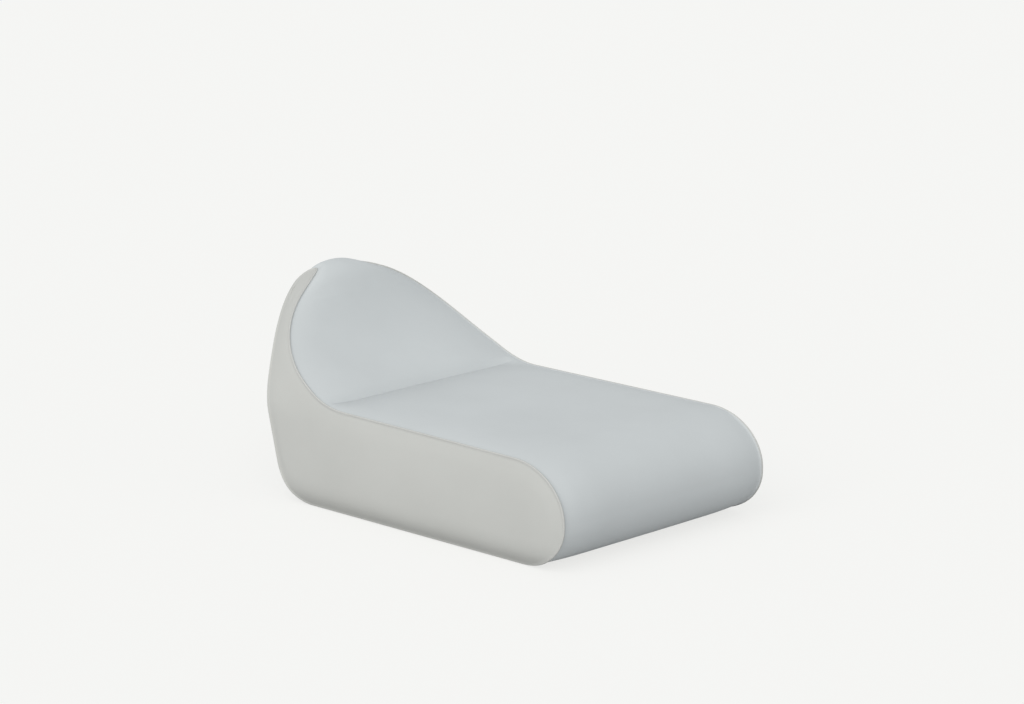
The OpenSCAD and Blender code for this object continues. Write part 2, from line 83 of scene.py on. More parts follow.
def rounding(a, p, b, r, n):
    """An arc of radius r in the corner p between a and b, in n steps."""
    ua, ub = unit(a - p), unit(b - p)
    h = math.acos(float(ua @ ub)) / 2
    reach = min(r / math.tan(h), REACH * min(np.linalg.norm(a - p), np.linalg.norm(b - p)))
    rr = reach * math.tan(h)
    c = p + unit(ua + ub) * rr / math.sin(h)
    s, e = p + ua * reach - c, p + ub * reach - c
    a0 = math.atan2(s[1], s[0])
    turn = (math.atan2(e[1], e[0]) - a0 + 3 * math.pi) % (2 * math.pi) - math.pi
    t = a0 + turn * np.arange(n + 1) / n
    return c + rr * np.stack([np.cos(t), np.sin(t)], 1)


def stretched(a, p, b, r, n):
    """A rounding that is longer than it is high."""
    size = np.array([NOSE, 1])
    return rounding(a / size, p / size, b / size, r, n) * size


def between(a, b, n):
    """The points inside a straight run of n steps."""
    return np.array([mix(a, b, k / n) for k in range(1, n)]).reshape(-1, 2)


v_low = np.array([-SEAT_L, FLOOR_SINK], float)
v_high = np.array([-SEAT_L + FRONT_LEAN, FRONT_H], float)
v_crease = np.array([0, CREASE_H], float)
v_knee = np.array([KNEE_RUN, CREASE_H + KNEE_RISE], float)
v_lip = np.array([KNEE_RUN + TOP_RUN, TOP_H], float)
v_crest = v_lip + np.array([TOP_L, 0])
v_rear = np.array([v_crest[0] - REAR_IN, REAR_H])
v_heel = np.array([v_rear[0] - HEEL_IN, FLOOR_SINK])

low_front = stretched(v_high, v_low, v_heel, LOW_FRONT_R, N["front"])
heel = rounding(v_low, v_heel, v_rear, HEEL_R, N["heel"])
bend = rounding(v_heel, v_rear, v_crest, REAR_R, N["bend"])
crest = rounding(v_rear, v_crest, v_lip, TOP_REAR_R, N["crest"])
lip = rounding(v_crest, v_lip, v_knee, TOP_FRONT_R, N["lip"])[1:]
knee = rounding(v_lip, v_knee, v_crease, KNEE_R, N["knee"])
dip = rounding(v_knee, v_crease, v_high, CREASE_R, N["crease"])
high_front = stretched(v_crease, v_high, v_low, HIGH_FRONT_R, N["front"])[:-1]
corners = np.concatenate([
    low_front, between(low_front[-1], heel[0], N["floor"]), heel,
    between(heel[-1], bend[0], N["rear"]), bend, between(bend[-1], crest[0], N["neck"]), crest, lip,
    between(lip[-1], knee[0], N["slope"]), knee, between(knee[-1], dip[0], N["ramp"]), dip,
    between(dip[-1], high_front[0], N["seat"]), high_front])
K = len(corners)
K_FLOOR = N["front"]
K_ZIP = N["front"] + N["floor"] + N["heel"] // 2
K_BEND = N["front"] + N["floor"] + N["heel"] + N["rear"] + N["bend"]
K_REAR = K_BEND + N["neck"]
K_CREST = K_REAR + N["crest"]
K_CREASE = K_CREST + N["lip"] + N["slope"] + N["knee"] + N["ramp"] + N["crease"] // 2
K_FRONT = K + K_FLOOR

# The profile runs a little softer than its arcs: a short blur along its own length
BLUR = 7.0
around = np.concatenate([corners, corners[:1]])
at = np.concatenate([[0], np.cumsum(np.linalg.norm(np.diff(around, axis=0), axis=1))])
LENGTH = at[-1]
COUNT = int(LENGTH)
even = np.arange(COUNT) * LENGTH / COUNT
dense = np.stack([np.interp(even, at, around[:, j]) for j in range(2)], 1)
waves = np.fft.fftfreq(COUNT, LENGTH / COUNT)
soft = np.exp(-2 * (math.pi * BLUR * waves) ** 2)
dense = np.stack([np.fft.ifft(np.fft.fft(dense[:, j]) * soft).real for j in range(2)], 1)
S = at[:-1]


def round_the_loop(values, s):
    """Values of the even steps, read at the lengths s round the profile."""
    ends = np.concatenate([even, [LENGTH]])
    v = np.concatenate([values, values[:1]])
    return np.stack([np.interp(np.mod(s, LENGTH), ends, v[:, j]) for j in range(values.shape[1])], 1)


slope = unit(np.roll(dense, -1, 0) - np.roll(dense, 1, 0))
LOOP = round_the_loop(dense, S)
OUT = unit(round_the_loop(np.stack([slope[:, 1], -slope[:, 0]], 1), S))


def lean_y(z):
    return (z - CREASE_H) / (TOP_H - CREASE_H) * v_lip[0]


def half_w(y, z):
    """Half the width between the seams."""
    t = clip((z - LEAN_H) / (TOP_H - LEAN_H))
    dome = mix(CREST, 1, (1 - t ** FALL_POWER) ** (1 / ROUND_POWER))
    low = clip(1 - z / TUCK_H)
    wide = SEAM_W / 2 * (1 - TAPER * (y + SEAT_L) / SEAT_L) - TUCK * low * low
    return wide * dome - REAR_FALL * np.maximum(0, y - lean_y(z)) * smooth(t)


def seam_at(p):
    return np.stack([half_w(p[:, 0], p[:, 1]), p[:, 0], p[:, 1]], 1)


seam_dense = seam_at(dense)
seam_slope = unit(np.roll(seam_dense, -2, 0) - np.roll(seam_dense, 2, 0))
SEAM = seam_at(LOOP)
SEAM_DIR = unit(round_the_loop(seam_slope, S))
BAND_W = SEAM[:, 0] - EDGE_IN / np.linalg.norm(SEAM_DIR[:, 1:], axis=1)
from_crease = (S - S[K_CREASE] + LENGTH / 2) % LENGTH - LENGTH / 2
off_crease, after_crease = np.abs(from_crease), from_crease > 0

# Distances from the edge of a panel: fine at the rolled edge, even over the rest
EDGE_D = np.array([0, 0.5, 1.2, 2.2, 3.6, 5.5, 8, 12, 18.0])
MID_D = np.linspace(18, 470, 20)[1:]
BAND_D = np.concatenate([EDGE_D, MID_D])
CREASE_FILL, CREASE_L, CREASE_DIP, CREASE_FADE = 7.5, 63.0, 10.0, 0.14
DIP_SEAT, DIP_BACK = 115.0, 40.0
GROOVE, GROOVE_AT = 2.6, 13.0
GROOVE_Y, GROOVE_RUN, GROOVE_Z, GROOVE_RISE = -0.86 * SEAT_L, 70, 20, 50
ROLL_FROM, ROLL_RUN = 0.62, 0.38


def roll(v):
    """1 over the middle of the band, falling to 0 at the seam."""
    return 1 - clip((v - ROLL_FROM) / ROLL_RUN) ** 2


def quarter(d, reach):
    """1 at the edge and 0 at the reach, in a quarter of an ellipse."""
    return 1 - np.sqrt(1 - clip(1 - d / reach) ** 2)


def lift(v):
    """How far the band stands out of the profile at the share v of its half width."""
    y, z = LOOP[:, 0], LOOP[:, 1]
    far = (1 - v) * BAND_W / GROOVE_AT
    front = smooth((GROOVE_Y - y) / GROOVE_RUN) * smooth((z - GROOVE_Z) / GROOVE_RISE)
    groove = GROOVE * front * far * np.exp(1 - far)
    reach = np.where(after_crease, DIP_SEAT, DIP_BACK)
    drawn = smooth((1 - v) / CREASE_FADE) * (CREASE_FILL * clip(1 - off_crease / CREASE_L) ** 2
                                             + CREASE_DIP * clip(1 - off_crease / reach) ** 2)
    sink = mix(FLOOR_SINK, SEAM_SINK, smooth((z - FLOOR_SINK) / SINK_H))
    crown = (SEAT_CROWN * smooth((z - SINK_H) / (LEAN_H - SINK_H))
             + BACK_CROWN * smooth((z - CROWN_H) / (TOP_H - CROWN_H)))
    return -groove + roll(v) * (sink - drawn) + (1 - v * v) * crown


def band_row(d):
    """Points across the band at distance d from its right edge, one for each step round the profile."""
    share = (d - EDGE_D[-1]) / (MID_D[-1] - EDGE_D[-1])
    far = d if d <= EDGE_D[-1] else mix(EDGE_D[-1], BAND_W, share)
    v = 1 - far / BAND_W
    p = LOOP + OUT * lift(v)[:, None]
    return np.stack([v * BAND_W, p[:, 0], p[:, 1]], 1)


# Each step runs across its side panel to one place of the middle line, its mate, which it shares with
# the step opposite
steps = np.arange(K)
PAIR = (K - steps) % K
MATE = np.clip(np.where(steps > K_CREST, K - steps, steps), K_FLOOR, K_BEND)
SPINE = (LOOP[MATE] + LOOP[K - MATE]) / 2
WAY_L = np.linalg.norm(SPINE - LOOP, axis=1)


def alike(values):
    """The same value at every step that runs to the same place of the middle line."""
    return (np.bincount(MATE, values) / np.maximum(1, np.bincount(MATE)))[MATE]


# Steps that fan out from one end of the middle line take the length at the start of the fan
EVEN_L = alike(WAY_L)
for end in (K_FLOOR, K_BEND):
    EVEN_L[MATE == end] = (WAY_L[end] + WAY_L[K - end]) / 2
WAY = unit(SPINE - LOOP)


TURN_L, TURN_SHARE = 40, 0.6
NEAR_PUFF, WIDE_PUFF, WIDE_L = 4.0, 13.0, 165
REAR_FLAT, REAR_FROM, REAR_RUN = 0.9, -170, 360


def side_at(s):
    """The flat side at distance s from its seam: square to the seam first, then towards the middle line."""
    b = smooth(s / np.minimum(TURN_L, TURN_SHARE * WAY_L))[:, None]
    return seam_at(LOOP + s[:, None] * mix(-OUT, WAY, b))


def risen(far, height, reach):
    """A swell that is level at its reach, or at the middle line where the panel is narrower."""
    most = np.minimum(reach, EVEN_L)
    return height * (1 - (1 - most / reach) ** 2) * (1 - (1 - clip(far / most)) ** 2)


def puff(q):
    """How far the side stands out: a fill beside the seam, and a broad swell that goes flat to the rear."""
    far = np.linalg.norm(q - SEAM, axis=1) * EVEN_L / WAY_L
    wide = WIDE_PUFF * (1 - REAR_FLAT * smooth((q[:, 1] - REAR_FROM) / REAR_RUN))
    return risen(far, NEAR_PUFF, PUFF_L) + risen(far, wide, WIDE_L)


def side_row(d, limit):
    """Points of the right side at distance d from its seam. With a limit, a row goes no further than that
    share of the way to the middle line; without one, it keeps square to the seam."""
    lo, hi = np.zeros(K), limit * WAY_L if limit else np.full(K, float(EDGE_IN + d))
    for _ in range(26):
        m = (lo + hi) / 2
        v = side_at(m) - SEAM
        if not limit:
            v = v - (v * SEAM_DIR).sum(1, keepdims=True) * SEAM_DIR
        far = np.linalg.norm(v, axis=1) > d
        hi, lo = np.where(far, m, hi), np.where(far, lo, m)
    q = side_at(hi)
    if d > EDGE_IN:
        q[:, 0] += puff(q)
    return q


# Rows of the side: the distance from the rolled edge, and the limit
SIDE_D = [(0, 0), (0.5, 0), (1.2, 0), (2.2, 0), (3.6, 0), (5.5, 0), (8, 0.26), (12, 0.33), (17, 0.4),
          (24, 0.47), (33, 0.54), (45, 0.61), (60, 0.68), (80, 0.75), (103, 0.82), (128, 0.89), (152, 0.95)]
RING_D = np.array([d for d, _ in SIDE_D] + [170.0])  # the last one stands for the middle line
side_rings = [side_row(EDGE_IN + d, limit) for d, limit in SIDE_D]
middle = seam_at(SPINE)
middle[:, 0] = alike(middle[:, 0] + puff(middle))
side_rings.append((middle + middle[PAIR]) / 2)
SIDE = np.array(side_rings)

half_band = np.array([band_row(d) for d in BAND_D])
flip = np.array([-1, 1, 1])
BAND = np.concatenate([half_band * flip, half_band[-2::-1]])
ROW_D = np.concatenate([BAND_D, BAND_D[-2::-1]])


def grid_normals(p):
    """Outward normals of a grid of rows by steps round the profile."""
    du = np.roll(p, -1, 1) - np.roll(p, 1, 1)
    dv = np.gradient(p, axis=0)
    return unit(np.cross(du, dv))


BAND_N = grid_normals(BAND)
SIDE_N = grid_normals(SIDE)
SIDE_N[-1] = unit(np.stack([alike(SIDE_N[-2][:, j]) for j in range(3)], 1))
if BAND_N[len(BAND) // 2, K_CREST, 2] < 0:
    BAND_N = -BAND_N
if SIDE_N[8, K_FLOOR + 4, 0] < 0:
    SIDE_N = -SIDE_N


def bag_faces(m, n):
    """Faces of a grid of m rows, each closed round n points."""
    return [(i * n + j, i * n + (j + 1) % n, (i + 1) * n + (j + 1) % n, (i + 1) * n + j)
            for i in range(m - 1) for j in range(n)]


SWELL, SWELL_L, PRESSURE, SLACK = 2.5, 60.0, 3.0, -0.002
BAND_CAP, SIDE_CAP, FRAMES, THIN = 3.5, 3.0, 24, 2
START_B, START_S = [-(SWELL * smooth(d / SWELL_L))[:, None] for d in (ROW_D, RING_D)]


def swollen():
    """How far the cover swells out of its seams, from a cloth simulation of the whole cover as one closed
    bag that starts a little inside its form. It is held along the piping, in the crease and where it rests
    on the floor."""
    rows_b = [i for i in range(len(BAND)) if ROW_D[i] in (0, 5.5) or ROW_D[i] >= 12]
    rows_s = [0, 5, 8, 9, 10, 11, 12, 13, 14, 15, 16, 17]
    ks = np.arange(0, K, THIN)
    start_b = BAND + BAND_N * START_B[:, :, None]
    start_s = SIDE + SIDE_N * START_S[:, :, None]
    pts = np.concatenate([start_s[rows_s[::-1]] * flip, start_b[rows_b], start_s[rows_s]])[:, ks]
    m, n = pts.shape[:2]
    me = bpy.data.meshes.new("bag")
    flat = pts.reshape(-1, 3) * MM
    me.from_pydata(flat.tolist(), [], bag_faces(m, n))
    bag = bpy.data.objects.new("bag", me)
    scene.collection.objects.link(bag)
    key = me.attributes.new("key", "INT", "POINT")
    key.data.foreach_set("value", np.arange(m * n, dtype=np.int32))
    bm = bmesh.new()
    bm.from_mesh(me)
    ends = [v for v in bm.verts if v.index < n or v.index >= (m - 1) * n]
    bmesh.ops.remove_doubles(bm, verts=ends, dist=0.0004)
    bmesh.ops.recalc_face_normals(bm, faces=bm.faces)
    bm.to_mesh(me)
    bm.free()
    count = len(me.vertices)
    keys = np.zeros(count, np.int32)
    me.attributes["key"].data.foreach_get("value", keys)
    row, col = keys // n, ks[keys % n]
    sides = len(rows_s)
    edge_rows = [seam + i for seam in (sides, m - sides) for i in (-2, -1, 0, 1)]
    z = flat[keys][:, 2] / MM
    held = np.isin(row, edge_rows) | (z < 14) | (np.abs(col - K_CREASE) <= 2)
    group = bag.vertex_groups.new(name="held")
    group.add([int(i) for i in np.nonzero(held)[0]], 1.0, "REPLACE")
    cloth = bag.modifiers.new("cloth", "CLOTH")
    c = cloth.settings
    c.quality = 6
    c.mass = 0.25
    c.tension_stiffness = c.compression_stiffness = 18
    c.shear_stiffness = 8
    c.bending_stiffness = 2.0
    c.air_damping = 3
    c.vertex_group_mass = "held"
    c.use_pressure = True
    c.uniform_pressure_force = PRESSURE
    c.shrink_min = c.shrink_max = SLACK
    c.effector_weights.gravity = 0
    cloth.collision_settings.use_collision = False
    cloth.collision_settings.use_self_collision = False
    cloth.point_cache.frame_start, cloth.point_cache.frame_end = 1, FRAMES
    for f in range(1, FRAMES + 1):
        scene.frame_set(f)
    done = bag.evaluated_get(bpy.context.evaluated_depsgraph_get()).to_mesh()
    co = np.zeros(count * 3)
    done.vertices.foreach_get("co", co)
    co = co.reshape(-1, 3) / MM
    scene.frame_set(1)
    full = pts.reshape(-1, 3).copy()
    full[keys] = co
    full = full.reshape(m, n, 3)
    bpy.data.objects.remove(bag)
    # Welded points take the value of the point they were joined to
    for i, r in ((0, 1), (m - 1, m - 2)):
        gone = np.ones(n, bool)
        gone[keys[(keys // n) == i] % n] = False
        full[i][gone] = pts[i][gone] + (full[r] - pts[r])[gone]
    moved = full - pts

    def spread(values, rows, normals):
        """Moves along the normals, for every row and step of the full grid."""
        out = np.zeros(normals.shape[:2])
        along = np.einsum("ijk,ijk->ij", values, normals[rows][:, ks])
        wide = np.array([np.interp(steps, np.append(ks, K), np.append(v, v[0])) for v in along])
        for k in range(K):
            out[:, k] = np.interp(np.arange(len(normals)), rows, wide[:, k])
        return out

    return (spread(moved[sides:m - sides], rows_b, BAND_N),
            spread(moved[:sides][::-1] * flip, rows_s, SIDE_N), spread(moved[m - sides:], rows_s, SIDE_N))


def eased(moved, start, held, cap):
    """The simulated moves, capped so that the cover stays on its foam, and smoothed over the grid."""
    x = np.maximum(start + moved, 0)
    x = cap * (1 - np.exp(-x / cap))
    waves_k = np.exp(-2 * (math.pi * 5 * np.fft.fftfreq(K)) ** 2)
    x = np.fft.ifft(np.fft.fft(x, axis=1) * waves_k, axis=1).real
    for _ in range(3):
        x = (np.concatenate([x[:1], x[:-1]]) + 2 * x + np.concatenate([x[1:], x[-1:]])) / 4
    return x * held


swell_band, swell_left, swell_right = swollen()
# No move at the seams, in the crease and at the floor
held_b = smooth(ROW_D / 45)[:, None] * smooth(off_crease / 60)[None, :] * smooth(LOOP[:, 1] / 40)[None, :]
held_s = smooth(RING_D / 45)[:, None]
swell_band = eased(swell_band, START_B, held_b, BAND_CAP)
swell_left, swell_right = [eased(w, START_S, held_s, SIDE_CAP) for w in (swell_left, swell_right)]
for w in (swell_left, swell_right):
    w[-1] = alike(w[-1])


# ---- materials ----
def principled(name):
    m = bpy.data.materials.new(name)
    m.use_nodes = True
    t = m.node_tree
    return m, t, t.nodes["Principled BSDF"]


def node(t, kind, **values):
    n = t.nodes.new(kind)
    for key, value in values.items():
        setattr(n, key, value)
    return n


def math_node(t, op, a, b=None, c=None):
    n = t.nodes.new("ShaderNodeMath")
    n.operation = op
    for i, x in enumerate((a, b, c)):
        if x is None:
            continue
        if isinstance(x, (int, float)):
            n.inputs[i].default_value = x
        else:
            t.links.new(x, n.inputs[i])
    return n.outputs[0]


def weave_height(t, u, v, pitch):
    """Height of a plain weave whose threads are pitch apart, from two lengths in metres."""
    w = 2 * math.pi / pitch
    a = math_node(t, "SINE", math_node(t, "MULTIPLY", u, w))
    b = math_node(t, "SINE", math_node(t, "MULTIPLY", v, w))
    return math_node(t, "MULTIPLY", a, b)


def ranged(t, value, span, result, **kind):
    """The value, taken from its span to the result's."""
    n = node(t, "ShaderNodeMapRange", **kind)
    t.links.new(value, n.inputs["Value"])
    n.inputs["From Min"].default_value, n.inputs["From Max"].default_value = span
    n.inputs["To Min"].default_value, n.inputs["To Max"].default_value = result
    return n.outputs["Result"]


def mixed(t, a, b, factor=1, **kind):
    """A mix of two colours. Each of the three is an output of a node or a constant."""
    n = node(t, "ShaderNodeMix", data_type="RGBA", **kind)
    for name, x in (("A", a), ("B", b), ("Factor", factor)):
        if isinstance(x, bpy.types.NodeSocket):
            t.links.new(x, n.inputs[name])
        else:
            n.inputs[name].default_value = x
    return n.outputs["Result"]


def shades(colour, spread):
    """A darker and a lighter colour, as far apart as spread on either side."""
    return (*[c * (1 - spread) for c in colour], 1), (*[min(1, c * (1 + spread)) for c in colour], 1)


def noise(t, place, scale, detail):
    n = node(t, "ShaderNodeTexNoise", noise_dimensions="3D")
    n.inputs["Scale"].default_value, n.inputs["Detail"].default_value = scale, detail
    t.links.new(place, n.inputs["Vector"])
    return n.outputs["Fac"]


def bumped(t, p, height, strength, distance):
    n = node(t, "ShaderNodeBump")
    n.inputs["Strength"].default_value, n.inputs["Distance"].default_value = strength, distance
    t.links.new(height, n.inputs["Height"])
    t.links.new(n.outputs["Normal"], p.inputs["Normal"])


# Painted shade: the colour that the seat cloth is multiplied by in front of the crease
CREASE_SHADE = (0.88, 0.88, 0.885, 1)
# How far the painted shade reaches from the seams and up from the floor, in metres
SEAM_SHADE_M, FLOOR_SHADE_M = 0.006, 0.10


def fabric(name, colour, rough=0.78, sheen=0.06, pitch=0.0011, bump=0.00006, shade=0.05, seam=0.94, low=1.0):
    """Woven cloth. Painted shade makes it darker by the factor seam along its seams, darker in front of the
    crease, and darker by the factor low at the floor."""
    m, t, p = principled(name)
    uv = node(t, "ShaderNodeUVMap", uv_map="cloth").outputs[0]
    split = node(t, "ShaderNodeSeparateXYZ")
    t.links.new(uv, split.inputs[0])
    weave = weave_height(t, split.outputs[0], split.outputs[1], pitch)
    grain = noise(t, uv, 900, 3)
    cloud = noise(t, uv, 3.1, 4)
    thread = math_node(t, "MULTIPLY_ADD", weave, 0.35, math_node(t, "MULTIPLY", grain, 0.8))
    tone = ranged(t, math_node(t, "MULTIPLY_ADD", thread, 0.3, cloud), (0.2, 1.1), (0.0, 1.0))
    shown = mixed(t, *shades(colour, shade), tone)
    if seam:
        edge = node(t, "ShaderNodeAttribute", attribute_name="edge").outputs["Fac"]
        painted_crease_shade = node(t, "ShaderNodeAttribute", attribute_name="painted_crease_shade").outputs["Fac"]
        # Painted shade: the cloth is darker in a thin line along its seams, where the grooves fall in shade
        shown = mixed(t, shown, ranged(t, edge, (0.0, SEAM_SHADE_M), (seam, 1.0)), blend_type="MULTIPLY")
        # Painted shade on the seat in front of the crease, where the backrest shades it
        shown = mixed(t, shown, CREASE_SHADE, painted_crease_shade, blend_type="MULTIPLY")
    # Painted shade near the floor: the colour darkens towards the bottom, as in the contact shadow
    if low < 1:
        height = node(t, "ShaderNodeSeparateXYZ")
        t.links.new(node(t, "ShaderNodeTexCoord").outputs["Object"], height.inputs[0])
        rise = ranged(t, height.outputs[2], (0.0, FLOOR_SHADE_M), (low, 1.0), interpolation_type="SMOOTHSTEP")
        shown = mixed(t, shown, rise, blend_type="MULTIPLY")
    t.links.new(shown, p.inputs["Base Color"])
    t.links.new(ranged(t, cloud, (0.0, 1.0), (rough - 0.06, rough + 0.06)), p.inputs["Roughness"])
    bumped(t, p, thread, 0.55, bump)
    p.inputs["Sheen Weight"].default_value = sheen
    p.inputs["Sheen Roughness"].default_value = 0.45
    p.inputs["Specular IOR Level"].default_value = 0.16
    return m


def foam(name, colour):
    m, t, p = principled(name)
    voronoi = node(t, "ShaderNodeTexVoronoi")
    voronoi.inputs["Scale"].default_value = 420
    t.links.new(node(t, "ShaderNodeTexCoord").outputs["Object"], voronoi.inputs["Vector"])
    cells = voronoi.outputs["Distance"]
    t.links.new(mixed(t, (*[c * 0.72 for c in colour], 1), (*colour, 1), cells), p.inputs["Base Color"])
    bumped(t, p, cells, 0.6, 0.0006)
    p.inputs["Roughness"].default_value = 0.95
    p.inputs["Specular IOR Level"].default_value = 0.15
    return m


def solid(name, colour, rough, metal, scale=300.0, spread=0.12):
    m, t, p = principled(name)
    spots = noise(t, node(t, "ShaderNodeTexCoord").outputs["Object"], scale, 4)
    t.links.new(mixed(t, *shades(colour, spread), spots), p.inputs["Base Color"])
    t.links.new(ranged(t, spots, (0.0, 1.0), (rough - 0.08, rough + 0.08)), p.inputs["Roughness"])
    p.inputs["Metallic"].default_value = metal
    return m


# FLOOR_SHADE is the factor of the painted shade at the floor, on the side cloth and the piping
SIDE_COLOUR, FLOOR_SHADE = (0.516, 0.520, 0.499), 0.82
SIDE_MAT = fabric("side_fabric", SIDE_COLOUR, seam=0, low=FLOOR_SHADE)
# The band's cloth is a cooler, bluer grey than the side's: a painted reflection of the cool light on the band
BAND_MAT = fabric("band_fabric", (0.571, 0.598, 0.604))
BASE_MAT = fabric("base_fabric", (0.42, 0.43, 0.42), pitch=0.0016, shade=0.08)
PIPE_MAT = fabric("piping_fabric", SIDE_COLOUR, seam=0, low=FLOOR_SHADE)
TAPE_MAT = fabric("fastening_tape", (0.12, 0.12, 0.13), rough=0.85, pitch=0.0022, bump=0.0004, shade=0.25,
                  seam=0)
ZIP_TAPE_MAT = fabric("zip_tape", (0.30, 0.31, 0.31), rough=0.8, pitch=0.0008, bump=0.00012, shade=0.1,
                      seam=0)
SOFT_FOAM = foam("soft_foam", (0.80, 0.79, 0.72))
FIRM_FOAM = foam("firm_foam", (0.62, 0.60, 0.50))
COIL_MAT = solid("zip_coil", (0.28, 0.29, 0.29), 0.42, 0.0)
ZIP_METAL = solid("zip_metal", (0.30, 0.31, 0.31), 0.34, 0.85, scale=900.0)


# ---- meshes ----
def make(name, points, faces, uv, edge, material, nodes, subdivide=1, painted_crease_shade=None):
    """A piece from points in millimetres of the drawing, moved to the part's frame. edge is each point's
    distance from its seam, and the last argument how much of the painted shade in front of the crease it
    takes."""
    me = bpy.data.meshes.new(name)
    p = (np.asarray(points, float) + [0, SHIFT_Y, 0]) * MM
    me.from_pydata(p.tolist(), [], faces)
    index = np.zeros(len(me.loops), np.int32)
    me.loops.foreach_get("vertex_index", index)
    layer = me.uv_layers.new(name="cloth")
    layer.data.foreach_set("uv", (np.asarray(uv, float)[index] * MM).astype(np.float32).ravel())
    if edge is not None:
        a = me.attributes.new("edge", "FLOAT", "POINT")
        a.data.foreach_set("value", (np.asarray(edge, float) * MM).astype(np.float32))
        a = me.attributes.new("painted_crease_shade", "FLOAT", "POINT")
        a.data.foreach_set("value", np.asarray(np.zeros(len(p)) if painted_crease_shade is None else painted_crease_shade, np.float32))
    ob = bpy.data.objects.new(name, me)
    scene.collection.objects.link(ob)
    bm = bmesh.new()
    bm.from_mesh(me)
    bmesh.ops.remove_doubles(bm, verts=bm.verts, dist=0.00002)
    bmesh.ops.recalc_face_normals(bm, faces=bm.faces)
    for f in bm.faces:
        f.smooth = True
    bm.to_mesh(me)
    bm.free()
    me.materials.append(material)
    if subdivide:
        s = ob.modifiers.new("subdivision", "SUBSURF")
        s.levels = s.render_levels = subdivide
    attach(ob, "lounger")
    if nodes:
        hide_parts(*nodes)
    return ob


# The rolled edges: how far an edge dips (up to the piping if below 0) and how far it reaches over to the
# seam, in a quarter of an ellipse
EDGE_DIP, EDGE_REACH = -2.4, 4.5
EDGE_OVER, OVER_REACH = 1.1, 4.0
# How far the painted shade in front of the crease reaches along the seat, and in from the seams
CREASE_SHADE_L, CREASE_SHADE_IN = 260.0, 90
END_D = [0.7, 1.5, 2.6, 4.0, 5.5]  # extra columns at this distance from each end of a panel
END_GAP, COLUMN_GAP = 0.35, 0.004
TO_SEAM = unit(SEAM - BAND[-1])
row_dip = EDGE_DIP * quarter(ROW_D, EDGE_REACH)
LENGTHS, PLACES = np.concatenate([S, S + LENGTH, S + 2 * LENGTH]), np.arange(3 * K)


def at_k(grid, k):
    """Rows of a grid at any place k round the profile."""
    k0 = math.floor(k)
    return mix(grid[:, k0 % K], grid[:, (k0 + 1) % K], k - k0)


def k_of(k, d):
    """The place at distance d along the profile from k."""
    return float(np.interp(LENGTHS[k] + d, LENGTHS, PLACES))


def sheet_faces(m, n):
    """Faces of a closed sheet: a grid of m by n points, the same grid under it, and the rim."""
    under = m * n
    faces = []
    for i in range(m - 1):
        for j in range(n - 1):
            a, b, c, d = i * n + j, (i + 1) * n + j, (i + 1) * n + j + 1, i * n + j + 1
            faces += [(a, b, c, d), (under + a, under + d, under + c, under + b)]
        for j in (0, n - 1):
            a, b = i * n + j, (i + 1) * n + j
            faces.append((a, under + a, under + b, b))
    for j in range(n - 1):
        for i in (0, m - 1):
            a, b = i * n + j, i * n + j + 1
            faces.append((a, b, under + b, under + a))
    return faces


def band_panel(name, k0, k1, cut0, cut1, dip0, dip1, material, nodes):
    """A panel of the band between two places of the profile. cut0 and cut1 say how far each row stops
    short of them, and dip0 and dip1 how far the ends dip."""
    m = len(BAND)
    ends0 = [k_of(k0, d) for d in END_D]
    ends1 = [k_of(k1, -d) for d in END_D][::-1]
    inner = [k for k in range(k0, k1 + 1) if ends0[-1] + END_GAP < k < ends1[0] - END_GAP]
    places = [None, *ends0, *inner, *ends1, None]
    n = len(places)
    top, under = np.zeros((m, n, 3)), np.zeros((m, n, 3))
    near, painted_crease_shade = np.zeros((m, n)), np.zeros((m, n))
    swelled = BAND + BAND_N * swell_band[:, :, None]
    for i in range(m):
        first, final = k_of(k0, cut0[i]), k_of(k1, -cut1[i])
        for j, place in enumerate(places):
            if place is None:
                k = first if j == 0 else final
            else:
                k = min(max(place, first + COLUMN_GAP * j), final - COLUMN_GAP * (n - j))
            q, w = math.floor(k) % K, k - math.floor(k)
            r = (q + 1) % K
            v = unit(mix(BAND_N[i, q], BAND_N[i, r], w))
            s = float(np.interp(k, PLACES, LENGTHS))
            d0 = s - LENGTHS[k0] - cut0[i]
            d1 = LENGTHS[k1] - cut1[i] - s
            dip = row_dip[i] + dip0 * float(quarter(d0, EDGE_REACH)) + dip1 * float(quarter(d1, EDGE_REACH))
            over = mix(TO_SEAM[q], TO_SEAM[r], w) * EDGE_OVER * quarter(ROW_D[i], OVER_REACH)
            top[i, j] = mix(swelled[i, q], swelled[i, r], w) - v * dip + over * (flip if i < m // 2 else 1)
            under[i, j] = mix(BAND[i, q], BAND[i, r], w) - v * COVER_T
            near[i, j] = ROW_D[i]
            # Painted shade in front of the crease: strongest at the crease, fading along the seat and towards
            # the seams
            painted_crease_shade[i, j] = clip(1 - d0 / CREASE_SHADE_L) ** 2 * smooth(ROW_D[i] / CREASE_SHADE_IN) if k0 == K_CREASE else 0
    points = np.concatenate([top.reshape(-1, 3), under.reshape(-1, 3)])
    along = np.interp([k0, *places[1:-1], k1], PLACES, LENGTHS)
    uv = np.stack([top[:, :, 0], np.tile(along, (m, 1))], 2)
    twice = [np.concatenate([x] * 2) for x in (uv.reshape(-1, 2), near.ravel(), painted_crease_shade.ravel())]
    return make(name, points, sheet_faces(m, n), twice[0], twice[1], material, nodes, painted_crease_shade=twice[2])


# Panels stop short of each other by a small gap, and by more over the zip
NONE = [0.0] * len(BAND)
PLAIN = [SEAT_GAP / 2] * len(BAND)
zip_w = ZIP_SHARE * float(BAND_W[K_ZIP])
ZIP_CUT = [float(mix(ZIP_OPEN, SEAT_GAP / 2, smooth((abs(BAND[i, K_ZIP, 0]) - zip_w) / 60 + 0.15)))
           for i in range(len(BAND))]

